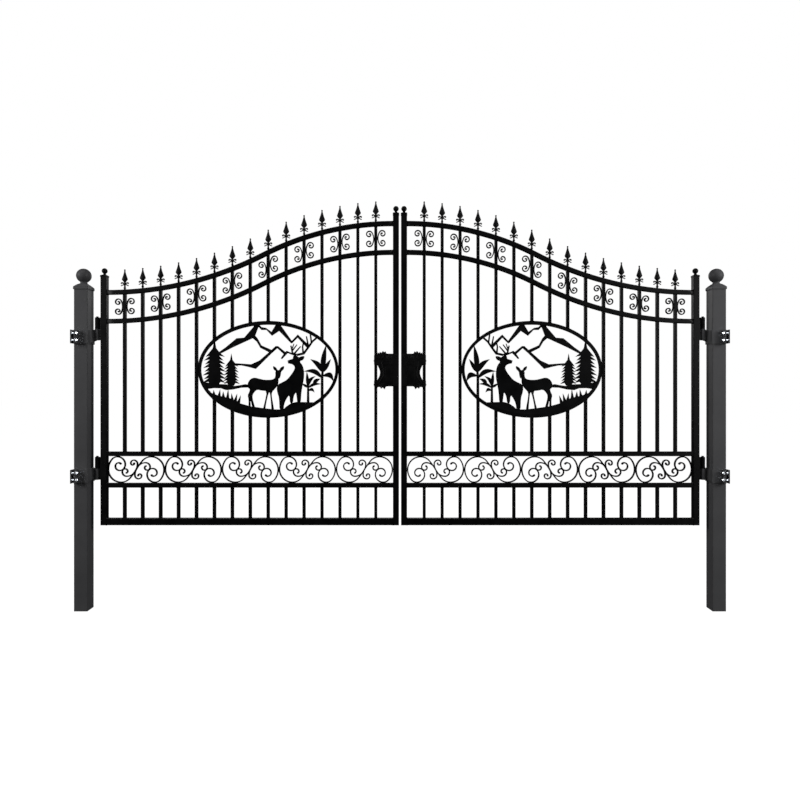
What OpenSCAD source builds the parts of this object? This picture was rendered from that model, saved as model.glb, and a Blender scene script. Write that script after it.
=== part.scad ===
// Double driveway gate of black powder-coated steel: two arched leaves between square posts.
// Frame: the origin is the centre of the left post's foot, +X runs along the gate to the
// right post, +Y points to the back and +Z points up. Lengths are in millimetres.

/* [Posts] */
// Side of each square post
post_side = 90; // [70:1:110]
// Length of a post from its foot to the underside of its cap
post_length = 2135; // [1900:5:2700]
// Overhang of the cap past the post on each side
post_cap_overhang = 4; // [2:1:10]
// Height of the cap's square skirt
post_cap_skirt = 18; // [10:1:30]
// Rise of the cap's pyramid
post_cap_rise = 26; // [15:1:40]
// Diameter of the neck below the ball
post_neck_d = 47; // [30:1:60]
// Distance from the pyramid's top to the lowest point of the ball
post_neck_h = 5; // [2:1:15]
// Diameter of the ball on the post cap
post_ball_d = 95; // [70:1:110]

/* [Leaves] */
// Width of each leaf over its two stiles
leaf_width = 1990; // [1600:10:2400]
// Height of the leaf's underside above the foot of the post
leaf_lift = 565; // [400:5:700]
// Gap between the two leaves where they meet
meeting_gap = 14; // [10:1:20]
// Gap between the post and the hinge stile
hinge_gap = 74; // [70:1:100]
// Side of the square stiles
stile_side = 40; // [30:1:50]
// Length of the hinge stile that stands above the arch
hinge_stile_above = 86; // [60:1:150]
// Length of the meeting stile that stands above the arch
meeting_stile_above = 41; // [30:1:80]

/* [Rails] */
// Height of the bottom rail
bottom_rail_h = 45; // [30:1:60]
// Height of the other rails, measured square to the rail
rail_h = 30; // [20:1:40]
// Depth of the other rails from front to back
rail_depth = 30; // [25:1:40]
// Height of the scroll band's underside above the leaf's underside
band_start = 250; // [200:5:350]
// Clear height of the scroll band between its two rails
band_clear = 180; // [140:1:220]
// Height of the top rail's upper face at the hinge stile
arch_start = 1570; // [1400:5:1900]
// Rise of the top rail from the hinge stile to the meeting stile
arch_rise = 461; // [350:1:600]
// Share of the run in which the arch is hollow before it turns over
arch_hollow_share = 0.543; // [0.45:0.001:0.6]
// Vertical distance between the two arch rails
arch_spacing = 193; // [180:1:240]

/* [Pickets] */
// Side of the square pickets
picket_side = 20; // [14:1:24]
// Distance from one picket's centre to the next
picket_pitch = 120; // [100:1:150]

/* [Stile caps] */
// Overhang of a stile cap past its stile on each side
stile_cap_overhang = 1.5; // [1:0.5:4]
// Height of the stile cap's square skirt
stile_cap_skirt = 11; // [6:1:16]
// Rise of the stile cap's pyramid
stile_cap_rise = 7; // [4:1:12]
// Diameter of the stile cap's neck
stile_neck_d = 19; // [12:1:24]
// Distance from the pyramid's top to the lowest point of the ball
stile_neck_h = 6; // [3:1:12]
// Diameter of the ball on the stile cap
stile_ball_d = 37; // [28:1:44]

/* [Finials] */
// Height of a finial from the top rail to the tip of its ball
finial_height = 137; // [110:1:170]
// Width of the spear at its widest
spear_width = 41; // [28:1:44]
// Thickness of the spear from front to back
spear_depth = 22; // [14:1:30]
// Width over the curls below the spear
curl_span = 56; // [40:1:64]
// Diameter of the finial's shank
shank_d = 12; // [8:1:14]

/* [Scrolls] */
// Height of each C scroll between the arch rails
c_scroll_h = 110; // [80:1:125]
// Thickness of the C scroll's bar as seen from the front
c_bar = 7.5; // [5:0.5:9]
// Depth of the C scroll's bar from front to back
c_bar_depth = 12; // [8:1:20]
// Thickness of the band scroll's bar as seen from the front
band_bar = 8.5; // [5:0.5:10]
// Depth of the band scroll's bar from front to back
band_bar_depth = 12; // [8:1:20]

/* [Medallion] */
// The picket, counted from the hinge stile, on which the medallion is centred
medallion_picket = 9; // [7:1:9]
// Number of pickets from the medallion's centre to the picket that its side meets
medallion_reach = 4; // [3:1:4]
// Height of the medallion's centre above the leaf's underside
medallion_z = 1040; // [950:1:1150]
// Height of the medallion over its ring
medallion_h = 648; // [500:5:700]
// Width of the ring at its two sides
ring_side = 20; // [14:1:30]
// Width of the ring at its top and bottom
ring_top = 25; // [14:1:30]
// Depth of the ring from front to back
ring_depth = 14; // [8:1:20]
// Thickness of the plate that the scene is cut from
scene_t = 4; // [3:0.5:6]

/* [Lock plates] */
// Height of the lock plate's body
lock_h = 218; // [180:1:260]
// Height of the lock plate's centre above the leaf's underside
lock_z = 1035; // [900:1:1150]
// Thickness of the lock plate
lock_t = 6; // [4:1:10]
// Depth of the hollow in the edge next to the picket
lock_hollow = 20; // [15:1:28]
// Height of the hollow in the edge next to the picket
lock_hollow_h = 106; // [60:1:120]
// Distance from the lock plate's centre down to the hollow's centre
lock_hollow_drop = 17; // [0:1:30]
// Height of the two tabs that hold the lock plate to the picket
lock_tab_h = 24; // [18:1:30]
// Distance from the lock plate's upper edge down to the upper tab's bolt
upper_bolt_drop = 46; // [20:1:50]
// Distance from the lock plate's lower edge up to the lower tab's bolt
lower_bolt_rise = 12; // [12:1:40]
// Diameter of the lock plate's bolts
lock_bolt_d = 8; // [6:1:10]

/* [Hinges] */
// Height of the upper hinge's split above the leaf's underside
upper_hinge_z = 1310; // [1200:5:1350]
// Height of the lower hinge's split above the leaf's underside
lower_hinge_z = 377; // [330:1:450]
// Distance from the hinge stile's face to the hinge axis
hinge_offset = 29; // [27:1:34]
// Diameter of the hinge barrel
barrel_d = 30; // [26:1:34]
// Length of the knuckle on the leaf
leaf_knuckle_h = 77; // [60:1:90]
// Length of the knuckle on the post
post_knuckle_h = 75; // [60:1:80]
// Diameter of the hinge pin
pin_d = 16; // [12:1:20]
// Length of pin that shows above the knuckle
pin_tip = 7; // [4:1:12]
// Thickness of the lugs that carry the knuckles
lug_t = 10; // [6:1:14]
// Gap between the post's knuckle and the leaf's lug beside it
knuckle_gap = 3; // [2:0.5:6]

/* [Clamps] */
// Height of each clamp
clamp_h = 90; // [80:1:110]
// Thickness of the clamp's bent plate and closing plate
clamp_t = 4; // [3:0.5:6]
// Reach of the flanges and the closing plate past the post
clamp_reach = 40; // [34:1:50]
// Distance from the post's outer face to the flange
flange_inset = 20; // [16:1:24]
// Diameter of the clamp bolts
bolt_d = 12; // [10:1:14]
// Vertical distance between the two bolts of a pair
bolt_spacing = 46; // [40:1:56]

/* [Hidden] */

steel = [0.05, 0.05, 0.055];
zinc = [0.75, 0.76, 0.78];

// Furthest that a scroll's flats may lie from its true curve
curve_error = 0.25;
// Gap that keeps two curved faces from cutting into each other
seat_gap = 0.2;
// Radial clearance of the hinge pin in its knuckle
pin_clearance = 0.05;
// Vertical gap between the two knuckles of a hinge
thrust_gap = 0.3;
// Radial clearance of the bolts in their holes
bolt_clearance = 0.5;
// Least gap between a C scroll and a stile
c_clearance = 5;
// Extra thickness of a scroll's round end, as a share of its bar
end_swell = 0.45;
// Turn over which the bar swells towards its end
swell_turn = 100;

// Places along the gate
post_spacing = post_side + 2 * hinge_gap + 2 * leaf_width + meeting_gap;
leaf_x = post_side / 2 + hinge_gap;
clear_w = leaf_width - 2 * stile_side;

// C scroll: half of it as [radius, turn] arcs, from the tip of its curl to the middle of its
// spine, and then the same backwards
curl_arcs = [[7, -100], [11.5, -90], [16, -90], [18.5, -90], [20, -60], [79, -30]];
c_arcs = concat(curl_arcs, reverse_of(curl_arcs));
curl_turn = 460;
c_raw = chain([0, 0, curl_turn - 90], c_arcs);
c_top = max([for (p = c_raw) p[1]]);
c_low = min([for (p = c_raw) p[1]]);
c_side = max([for (p = c_raw) p[0]]);
c_k = (c_scroll_h - c_bar) / (c_top - c_low);

// The C's centre line, with the outermost point of its spine at the origin
c_line = [for (p = swelled(c_raw, 1))
    [(p[0] - c_side) * c_k, (p[1] - (c_top + c_low) / 2) * c_k, p[2], p[3]]];
c_scroll_w = c_bar - min([for (p = c_line) p[0]]);

// Pickets: as many as leave room for a C scroll beside each stile, centred between the stiles
end_room = picket_side / 2 + seat_gap + c_scroll_w + c_clearance;
picket_count = floor((clear_w - 2 * end_room) / picket_pitch) + 1;
first_picket_x = (leaf_width - (picket_count - 1) * picket_pitch) / 2;
function picket_x(i) = first_picket_x + (i - 1) * picket_pitch;

// Arch: two arcs that start and end level and meet at one slope
arch_steps = 24;
arch_angle = 2 * atan(arch_rise / clear_w);
arch_radii = clear_w / sin(arch_angle);
hollow_r = arch_hollow_share * arch_radii;
crown_r = arch_radii - hollow_r;

// Point on the arch where its slope is a, on the hollow arc and on the crown arc;
// depth is measured square to the upper face
function hollow_point(a, depth) =
    [stile_side + (hollow_r + depth) * sin(a),
     arch_start + hollow_r - (hollow_r + depth) * cos(a)];
function crown_point(a, depth) =
    [stile_side + clear_w - (crown_r - depth) * sin(a),
     arch_start + arch_rise - crown_r + (crown_r - depth) * cos(a)];
function arch_line(depth, drop) = concat(
    [for (i = [0:arch_steps]) hollow_point(arch_angle * i / arch_steps, depth) - [0, drop]],
    [for (i = [arch_steps - 1:-1:0]) crown_point(arch_angle * i / arch_steps, depth) - [0, drop]]);

// Height of the top rail's upper face at x
function arch_z(x) =
    let (u = x - stile_side, turn = arch_hollow_share * clear_w)
    u < turn
        ? arch_start + hollow_r - sqrt(hollow_r * hollow_r - u * u)
        : arch_start + arch_rise - crown_r + sqrt(crown_r * crown_r - (clear_w - u) * (clear_w - u));

// Band
band_z = band_start + rail_h;
band_top = band_z + band_clear;

// Medallion
medallion_x = picket_x(medallion_picket);
ring_a = medallion_reach * picket_pitch - picket_side / 2 - seat_gap;
ring_b = medallion_h / 2;
ring_steps = 96;

// Hinges and clamps, measured from the post's centre line
axis_x = leaf_x - hinge_offset;
upper_clamp_drop = 11;
lug_inset = 8;
bracket_x = post_side / 2 + clamp_t;
flange_x = -post_side / 2 + flange_inset;
bolt_y = post_side / 2 + clamp_t + (clamp_reach - clamp_t) / 2;
nut_h = 10;
bolt_head_h = 5;

function reverse_of(list) = [for (i = [len(list) - 1:-1:0]) list[i]];

// ---- Shared shapes ----

// A flat outline in X and Z, made depth thick and centred on the leaf's middle plane
module upright(depth, y = 0) {
    translate([0, y + depth / 2, 0])
        rotate([90, 0, 0])
            linear_extrude(depth)
                children();
}

// Places a left leaf piece, drawn from the hinge stile's outer face and the leaf's underside
module left_leaf() {
    translate([leaf_x, 0, leaf_lift])
        children();
}

// Mirrors a left piece to the right half of the gate
module right_half() {
    translate([post_spacing, 0, 0])
        mirror([1, 0, 0])
            children();
}

module right_leaf() {
    right_half()
        left_leaf()
            children();
}

// A block between two corners in X and Z, centred on the middle plane
module bar(x, z, w, h, depth) {
    translate([x, -depth / 2, z])
        cube([w, depth, h]);
}

// A chain of tangent arcs. Each arc is [radius, turn]; a negative turn bends to the right.
// The result lists [x, z, heading] along the chain.
function arc_end(p, arc) =
    let (r = sign(arc[1]) * arc[0], h = p[2], g = p[2] + arc[1])
    [p[0] + r * (sin(g) - sin(h)), p[1] - r * (cos(g) - cos(h)), g];
function arc_points(p, arc) =
    let (n = ceil(abs(arc[1]) / (2 * acos(1 - curve_error / arc[0]))))
    [for (i = [1:n]) arc_end(p, [arc[0], arc[1] * i / n])];
function chain(p, arcs, i = 0) =
    i == len(arcs) ? [p] : concat([p], chain_rest(p, arcs, i));
function chain_rest(p, arcs, i) =
    i == len(arcs) ? [] : concat(arc_points(p, arcs[i]), chain_rest(arc_end(p, arcs[i]), arcs, i + 1));

// Adds to each point of a chain of right turns how far the bar has swelled there, from 0 to 1,
// towards the chain's end and, where start is 1, towards its start too
function swell_at(turn_left) = pow(max(0, 1 - abs(turn_left) / swell_turn), 2);
function swelled(path, start) =
    let (last = path[len(path) - 1])
    [for (p = path) [p[0], p[1], p[2], max(swell_at(p[2] - last[2]), start * swell_at(p[2] - path[0][2]))]];

// The outline of a bar of width w that follows a swelled chain. It swells on the inner side of
// its curls, at most to the centre of the smallest one, whose radius is tip_r.
function beside(p, offset) = [p[0] - offset * sin(p[2]), p[1] + offset * cos(p[2])];
function round_end(p, w, swell, from) =
    [for (turn = [30:30:150])
        beside(p, -swell / 2) + (w + swell) / 2 * [cos(p[2] + from - turn), sin(p[2] + from - turn)]];
function ribbon(path, w, tip_r) =
    let (swell = min(end_swell * w, tip_r - w / 2), last = path[len(path) - 1])
    concat(
        [for (p = path) beside(p, w / 2)],
        round_end(last, w, swell, 90),
        reverse_of([for (p = path) beside(p, -w / 2 - swell * p[3])]),
        path[0][3] > 0 ? round_end(path[0], w, swell, -90) : []);
function stretched(path, kx, kz) =
    [for (p = path) [p[0] * kx, p[1] * kz, atan2(kz * sin(p[2]), kx * cos(p[2])), p[3]]];
function turned(path) = [for (p = path) [-p[0], -p[1], p[2] + 180, p[3]]];

// ---- Posts ----

module post() {
    color(steel)
        translate([-post_side / 2, -post_side / 2, 0])
            cube([post_side, post_side, post_length]);
}

// A square cap with a low pyramid, a neck and a ball, standing on z
module ball_cap(side, skirt, rise, neck_d, neck_h, ball_d) {
    ball_z = skirt + rise + neck_h + ball_d / 2;
    translate([-side / 2, -side / 2, 0])
        cube([side, side, skirt]);
    translate([0, 0, skirt])
        rotate([0, 0, 45])
            cylinder(h = rise, d1 = side * sqrt(2), d2 = neck_d * sqrt(2), $fn = 4);
    translate([0, 0, skirt])
        cylinder(h = ball_z - skirt, d = neck_d, $fn = 48);
    translate([0, 0, ball_z])
        sphere(d = ball_d, $fn = 64);
}

module post_cap() {
    color(steel)
        translate([0, 0, post_length])
            ball_cap(post_side + 2 * post_cap_overhang, post_cap_skirt, post_cap_rise,
                     post_neck_d, post_neck_h, post_ball_d);
}

// ---- Hinges ----

// Heights of the hinge splits and of the clamps' tops above the foot of the post
hinges = [
    [leaf_lift + upper_hinge_z, leaf_lift + upper_hinge_z - upper_clamp_drop],
    [leaf_lift + lower_hinge_z, leaf_lift + lower_hinge_z]];

// The bent clamp seen from above: a channel round three faces of the post, with two flanges
function bracket_plan() =
    let (y = post_side / 2, out = y + clamp_reach)
    [[flange_x, -out], [flange_x + clamp_t, -out], [flange_x + clamp_t, -y - clamp_t],
     [bracket_x, -y - clamp_t], [bracket_x, y + clamp_t], [flange_x + clamp_t, y + clamp_t],
     [flange_x + clamp_t, out], [flange_x, out], [flange_x, y], [y, y], [y, -y], [flange_x, -y]];

// Cutters or bolts: one along X at each of the clamp's four bolt places
module at_bolts(top) {
    for (y = [-bolt_y, bolt_y])
        for (z = [-bolt_spacing / 2, bolt_spacing / 2])
            translate([0, y, top - clamp_h / 2 + z])
                rotate([0, 90, 0])
                    children();
}

module bolt_holes(top) {
    at_bolts(top)
        translate([0, 0, -post_side])
            cylinder(h = 2 * post_side, d = bolt_d + 2 * bolt_clearance, $fn = 32);
}

module hinge_bracket(split, top) {
    difference() {
        translate([0, 0, top - clamp_h])
            linear_extrude(clamp_h)
                polygon(bracket_plan());
        bolt_holes(top);
    }
    upright(lug_t)
        polygon([[bracket_x, top - clamp_h + lug_inset], [axis_x, split - post_knuckle_h],
                 [axis_x, split], [bracket_x, top]]);
    translate([axis_x, 0, split - post_knuckle_h])
        cylinder(h = post_knuckle_h, d = barrel_d, $fn = 48);
    translate([axis_x, 0, split - post_knuckle_h / 2])
        cylinder(h = post_knuckle_h / 2 + leaf_knuckle_h + pin_tip, d = pin_d, $fn = 48);
}

module hinge_brackets() {
    color(steel)
        for (h = hinges)
            hinge_bracket(h[0], h[1]);
}

module clamp_plates() {
    color(steel)
        for (h = hinges)
            difference() {
                translate([-post_side / 2 - clamp_t, -post_side / 2 - clamp_reach, h[1] - clamp_h])
                    cube([clamp_t, post_side + 2 * clamp_reach, clamp_h]);
                bolt_holes(h[1]);
            }
}

// A round-headed bolt outside the closing plate with its nut inside the flange
module clamp_bolt() {
    outside = -post_side / 2 - clamp_t;
    inside = flange_x + clamp_t;
    translate([0, 0, outside - bolt_head_h])
        cylinder(h = bolt_head_h, d = 2 * bolt_d, $fn = 32);
    translate([0, 0, outside - bolt_head_h])
        cylinder(h = inside - outside + bolt_head_h + nut_h + bolt_d / 2, d = bolt_d, $fn = 32);
    translate([0, 0, inside])
        cylinder(h = nut_h, d = 1.75 * bolt_d, $fn = 6);
}

module clamp_bolts() {
    color(zinc)
        for (h = hinges)
            at_bolts(h[1])
                clamp_bolt();
}

// The knuckle on the leaf, with the lug that is welded to the stile and runs down past
// the post's knuckle
module leaf_hinge(split) {
    foot_w = hinge_offset - barrel_d / 2 - knuckle_gap;
    bar(-foot_w, split - post_knuckle_h, foot_w, post_knuckle_h + 2 * thrust_gap, lug_t);
    difference() {
        union() {
            translate([-hinge_offset, 0, split + thrust_gap])
                cylinder(h = leaf_knuckle_h - thrust_gap, d = barrel_d, $fn = 48);
            bar(-hinge_offset, split + thrust_gap, hinge_offset, leaf_knuckle_h - thrust_gap, lug_t);
        }
        translate([-hinge_offset, 0, split - 1])
            cylinder(h = leaf_knuckle_h + 2, d = pin_d + 2 * pin_clearance, $fn = 48);
    }
}

module leaf_hinges() {
    color(steel) {
        leaf_hinge(upper_hinge_z);
        leaf_hinge(lower_hinge_z);
    }
}

// ---- Leaf frame ----

hinge_stile_h = arch_start + hinge_stile_above;
meeting_stile_h = arch_start + arch_rise + meeting_stile_above;

module hinge_stile() {
    color(steel)
        bar(0, 0, stile_side, hinge_stile_h, stile_side);
}

module meeting_stile() {
    color(steel)
        bar(leaf_width - stile_side, 0, stile_side, meeting_stile_h, stile_side);
}

module stile_caps() {
    color(steel)
        for (place = [[stile_side / 2, hinge_stile_h], [leaf_width - stile_side / 2, meeting_stile_h]])
            translate([place[0], 0, place[1]])
                ball_cap(stile_side + 2 * stile_cap_overhang, stile_cap_skirt, stile_cap_rise,
                         stile_neck_d, stile_neck_h, stile_ball_d);
}

module bottom_rail() {
    color(steel)
        bar(stile_side, 0, clear_w, bottom_rail_h, stile_side);
}

module band_lower_rail() {
    color(steel)
        bar(stile_side, band_start, clear_w, rail_h, rail_depth);
}

module band_upper_rail() {
    color(steel)
        bar(stile_side, band_top, clear_w, rail_h, rail_depth);
}

// The outline of an arched rail whose upper face lies drop below the top rail's
module arch_outline(drop) {
    polygon(concat(arch_line(0, drop), reverse_of(arch_line(rail_h, drop))));
}

module arch_rail(drop) {
    color(steel)
        upright(rail_depth)
            arch_outline(drop);
}

// ---- Pickets ----

function oval(a, b) =
    [for (i = [0:ring_steps - 1]) [a * cos(360 * i / ring_steps), b * sin(360 * i / ring_steps)]];

// The part of the leaf that pickets fill
module picket_field() {
    translate([stile_side, bottom_rail_h])
        square([clear_w, band_start - bottom_rail_h]);
    difference() {
        polygon(concat([[stile_side, band_top + rail_h]], arch_line(rail_h, arch_spacing),
                       [[leaf_width - stile_side, band_top + rail_h]]));
        translate([medallion_x, medallion_z])
            polygon(oval(ring_a, ring_b));
    }
    polygon(concat(arch_line(0, arch_spacing), reverse_of(arch_line(rail_h, 0))));
}

module pickets() {
    color(steel)
        difference() {
            upright(picket_side)
                intersection() {
                    picket_field();
                    for (i = [1:picket_count])
                        translate([picket_x(i) - picket_side / 2, 0])
                            square([picket_side, arch_start + arch_rise]);
                }
            lock_bolt_holes();
        }
}

// ---- Finials ----

// Heights above the top rail
collar_z = 8;
curl_z = 39;
spear_z = 49;
widest_z = 70;
// Sizes of the curls' upper and lower round ends, of the ball tip and of the neck below it
lobe_d = 14;
arm_d = 8;
tip_d = 11;
tip_neck_d = 8;
spear_foot_w = shank_d + 3;

// The spear's outline, as wide as its foot, its widest place and its neck. Two flat-sided
// wedges that cross at the spear's own slant leave a four-sided point.
module spear_wedge(slant) {
    share = cos(slant) / 2;
    rotate([0, 0, slant])
        upright(2 * spear_width)
            polygon([[-spear_foot_w * share, spear_z], [spear_foot_w * share, spear_z],
                     [spear_width * share, widest_z], [tip_neck_d * share, finial_height - tip_d],
                     [-tip_neck_d * share, finial_height - tip_d], [-spear_width * share, widest_z]]);
}

module spear() {
    slant = atan(spear_width / spear_depth);
    intersection() {
        spear_wedge(slant);
        spear_wedge(-slant);
    }
}

// The turned core: a shank with a collar, and a neck with a ball
module finial_core() {
    translate([0, 0, -shank_d])
        cylinder(h = spear_z + 4 + shank_d, d = shank_d, $fn = 24);
    translate([0, 0, collar_z])
        cylinder(h = 6, d = shank_d + 4, $fn = 24);
    translate([0, 0, finial_height - tip_d - 3])
        cylinder(h = tip_d, d = tip_neck_d * 0.6, $fn = 24);
    translate([0, 0, finial_height - tip_d / 2])
        sphere(d = tip_d, $fn = 24);
}

// The bow of four curls below the spear
module finial_curls() {
    lobe_x = (curl_span - lobe_d) / 2;
    arm_x = (curl_span - arm_d) / 2;
    upright(shank_d - 4)
        for (side = [-1, 1]) {
            translate([side * lobe_x, curl_z + 5])
                circle(d = lobe_d, $fn = 24);
            translate([side * arm_x, curl_z - 12])
                circle(d = arm_d, $fn = 24);
            polygon([[0, curl_z - 7], [0, curl_z + 7], [side * lobe_x, curl_z + 5 + lobe_d / 2],
                     [side * lobe_x, curl_z - 1], [side * (lobe_x - 4), curl_z - 1],
                     [side * arm_x, curl_z - 12 + arm_d / 2], [side * arm_x, curl_z - 12 - arm_d / 2]]);
        }
}

// A cast finial that stands at the origin
module finial() {
    finial_core();
    spear();
    finial_curls();
}

// The finials, with their shanks cut to the top rail's slope
module finials() {
    color(steel)
        difference() {
            for (i = [1:picket_count])
                translate([picket_x(i), 0, arch_z(picket_x(i))])
                    finial();
            upright(rail_depth)
                arch_outline(0);
        }
}

// ---- C scrolls ----

module c_scroll() {
    polygon(ribbon(c_line, c_bar, c_k * curl_arcs[0][0]));
}

// A pair of C scrolls back to back on one picket
module c_pair(x) {
    spine = picket_side / 2 + seat_gap + c_bar / 2;
    lean = c_scroll_h / 4;
    translate([x - spine, arch_z(x - spine - lean) - (rail_h + arch_spacing) / 2])
        c_scroll();
    translate([x + spine, arch_z(x + spine + lean) - (rail_h + arch_spacing) / 2])
        mirror([1, 0])
            c_scroll();
}

module c_scrolls() {
    color(steel)
        upright(c_bar_depth)
            for (i = [1:2:picket_count])
                c_pair(picket_x(i));
}

// ---- Band scrolls ----

// The large scroll from the motif's centre outward, and the small double curl beside it,
// drawn for a band 180 high and stretched to fill the band
large_arcs = [[500, -8], [78, -53], [86, -87], [108, -40], [48, -50], [52, -90], [44, -45],
              [35, -45], [29, -90], [24, -90], [18, -50]];
small_arcs = [[11, -90], [13, -90], [20, -90], [25, -90], [92, -45], [64, -45],
              [30, -90], [20, -90], [17, -90], [13, -60]];

large_path = swelled(chain([0, 0, 239], large_arcs), 0);
small_path = swelled(chain([-12, 41, -90], small_arcs), 1);
large_x = max([for (p = large_path) abs(p[0])]);
motif_edge = band_bar / 2 + seat_gap;
motif_kz = (band_clear / 2 - motif_edge) / max([for (p = large_path) abs(p[1])]);
motif_count = floor(clear_w / (2 * (motif_kz * large_x + motif_edge)));
motif_pitch = clear_w / motif_count;
motif_kx = (motif_pitch / 2 - motif_edge) / large_x;

module band_motif() {
    tip_r = motif_kz * small_arcs[0][0];
    for (path = [large_path, turned(large_path), small_path, turned(small_path)])
        polygon(ribbon(stretched(path, motif_kx, motif_kz), band_bar, tip_r));
}

module band_scrolls() {
    color(steel)
        upright(band_bar_depth)
            for (i = [0:motif_count - 1])
                translate([stile_side + (i + 0.5) * motif_pitch, band_z + band_clear / 2])
                    band_motif();
}

// ---- Medallion ----

// Scene outlines are drawn for an opening 900 by 594 and stretched to the ring's own size
scene_kx = (ring_a - ring_side) / 450;
scene_kz = (ring_b - ring_top) / 297;
function fitted(points) = [for (p = points) [p[0] * scene_kx, p[1] * scene_kz]];

// Rounds the corners of a closed outline by cutting them once
function softened(points) =
    let (n = len(points))
    [for (i = [0:n - 1], t = [0.25, 0.75]) points[i] * (1 - t) + points[(i + 1) % n] * t];

// A tapering stroke from one point to the next
function stroke_piece(a, b, wa, wb) =
    let (d = (b - a) / norm(b - a), n = [-d[1], d[0]])
    [a + n * wa / 2, b + n * wb / 2 + d * wb / 4, b - n * wb / 2 + d * wb / 4, a - n * wa / 2];

module stroke(points, wa, wb) {
    n = len(points) - 1;
    for (i = [0:n - 1])
        polygon(fitted(stroke_piece(points[i], points[i + 1],
                                    wa + (wb - wa) * i / n, wa + (wb - wa) * (i + 1) / n)));
}

// A pointed leaf from p to q, w wide and bowed sideways by bend
function leaf_outline(p, q, w, bend) =
    let (d = q - p, n = [-d[1], d[0]] / norm(d), steps = 8)
    concat(
        [for (i = [0:steps]) let (t = i / steps)
            p + d * t + n * (bend * sin(180 * t) + w / 2 * sin(180 * pow(t, 0.8)) + 2 * (1 - t))],
        [for (i = [steps - 1:-1:0]) let (t = i / steps)
            p + d * t + n * (bend * sin(180 * t) - w / 2 * sin(180 * pow(t, 0.8)) - 2 * (1 - t))]);

// A pine with a bare top and drooping boughs of uneven length: x and foot place it, and reach
// is the half width of its longest boughs
function pine_side(x, foot, height, reach, boughs, side) =
    [for (i = [0:boughs - 1], part = [0, 1])
        let (t = (i + 1) / boughs, z = foot + height * (0.7 - 0.66 * t))
        part == 0
            ? [x + side * reach * (0.74 + 0.2 * t + 0.06 * (i % 2 == 0 ? side : -side)), z - 6]
            : [x + side * reach * (0.36 + 0.12 * t), z + 1]];
function pine_top(x, foot, height, reach, side) =
    [[x + side * reach * 0.14, foot + height * 0.79], [x + side * reach * 0.45, foot + height * 0.68]];
function pine(x, foot, height, reach, boughs) = concat(
    [[x, foot + height]],
    pine_top(x, foot, height, reach, 1),
    pine_side(x, foot, height, reach, boughs, 1),
    [[x + reach * 0.3, foot - 8], [x - reach * 0.3, foot - 8]],
    reverse_of(pine_side(x, foot, height, reach, boughs, -1)),
    reverse_of(pine_top(x, foot, height, reach, -1)));

doe = [[-140, -104], [-132, -80], [-114, -60], [-90, -54], [-60, -62], [-25, -70], [22, -69], [43, -60],
    [49, -40], [47, -20], [52, -12], [36, -2], [30, 24], [52, 14], [62, -5], [74, -5], [82, 12],
    [108, 25], [104, 0], [86, -14], [84, -36], [77, -60], [68, -60], [69, -84], [63, -108], [46, -128],
    [22, -154], [25, -192], [32, -226], [40, -276], [22, -276], [19, -226], [12, -154], [2, -154],
    [-15, -226], [-20, -270], [-36, -266], [-22, -213], [-8, -144], [-45, -141], [-76, -134],
    [-97, -155], [-107, -176], [-102, -209], [-86, -262], [-105, -260], [-120, -196], [-117, -256],
    [-132, -252], [-131, -200], [-138, -172], [-127, -152], [-122, -130], [-135, -124]];

stag = [[125, 57], [146, 65], [166, 70], [166, 88], [185, 98], [204, 78], [222, 88], [246, 88],
    [234, 62], [208, 54], [230, 28], [240, -10], [240, -57], [230, -105], [222, -150], [217, -226],
    [196, -226], [190, -180], [186, -150], [170, -178], [165, -226], [146, -226], [142, -168],
    [122, -195], [106, -230], [102, -276], [76, -276], [73, -190], [62, -158], [56, -125], [64, -100],
    [90, -88], [125, -70], [158, -30], [176, 0], [178, 18], [165, 32], [148, 37], [130, 40], [134, 49]];

ground = [[-480, -95], [-440, -118], [-402, -136], [-382, -156], [-330, -175], [-262, -190], [-205, -212],
    [-188, -226], [-120, -245], [-30, -258], [45, -266], [100, -266], [122, -246], [155, -224],
    [190, -216], [305, -219], [360, -185], [480, -185], [480, -400], [-480, -400]];

tree_bank = [[-480, -75], [-432, -84], [-338, -97], [-263, -100], [-229, -110], [-195, -106], [-154, -98],
    [-125, -104], [-125, -120], [-182, -122], [-236, -134], [-283, -138], [-317, -126], [-365, -125],
    [-402, -130], [-480, -140]];

left_ridge = [[-352, 100], [-286, 146], [-212, 207], [-161, 211], [-99, 283], [-90, 310], [-50, 310],
    [-68, 275], [-87, 225], [-70, 205], [-46, 160], [22, 130], [24, 116], [8, 112], [-53, 143],
    [-77, 184], [-104, 207], [-236, 147], [-318, 105], [-352, 85]];

high_ridge = [[-70, 310], [-45, 281], [-15, 276], [22, 250], [58, 310], [72, 310], [158, 190], [198, 232],
    [276, 158], [262, 140], [197, 210], [158, 172], [150, 176], [73, 255], [25, 223], [-12, 262],
    [-46, 262], [-72, 290]];

low_ridge = [[-240, 42], [-168, 38], [-114, 34], [-59, 59], [15, 123], [49, 155], [66, 155], [114, 116],
    [124, 124], [141, 116], [186, 100], [180, 88], [131, 108], [92, 68], [84, 74], [103, 102], [61, 140],
    [22, 106], [-83, 3], [-141, 18], [-181, 26], [-240, 26]];

// Blades of grass: the width of a root, and [x and z of the root, x and z of the tip]
blade_w = 24;
grass = [[-385, -165, -392, -142], [-362, -172, -366, -136], [-330, -182, -322, -132],
    [-300, -186, -302, -146], [-272, -196, -268, -130], [-240, -206, -246, -158],
    [-222, -212, -208, -160], [-200, -222, -184, -172]];

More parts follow.
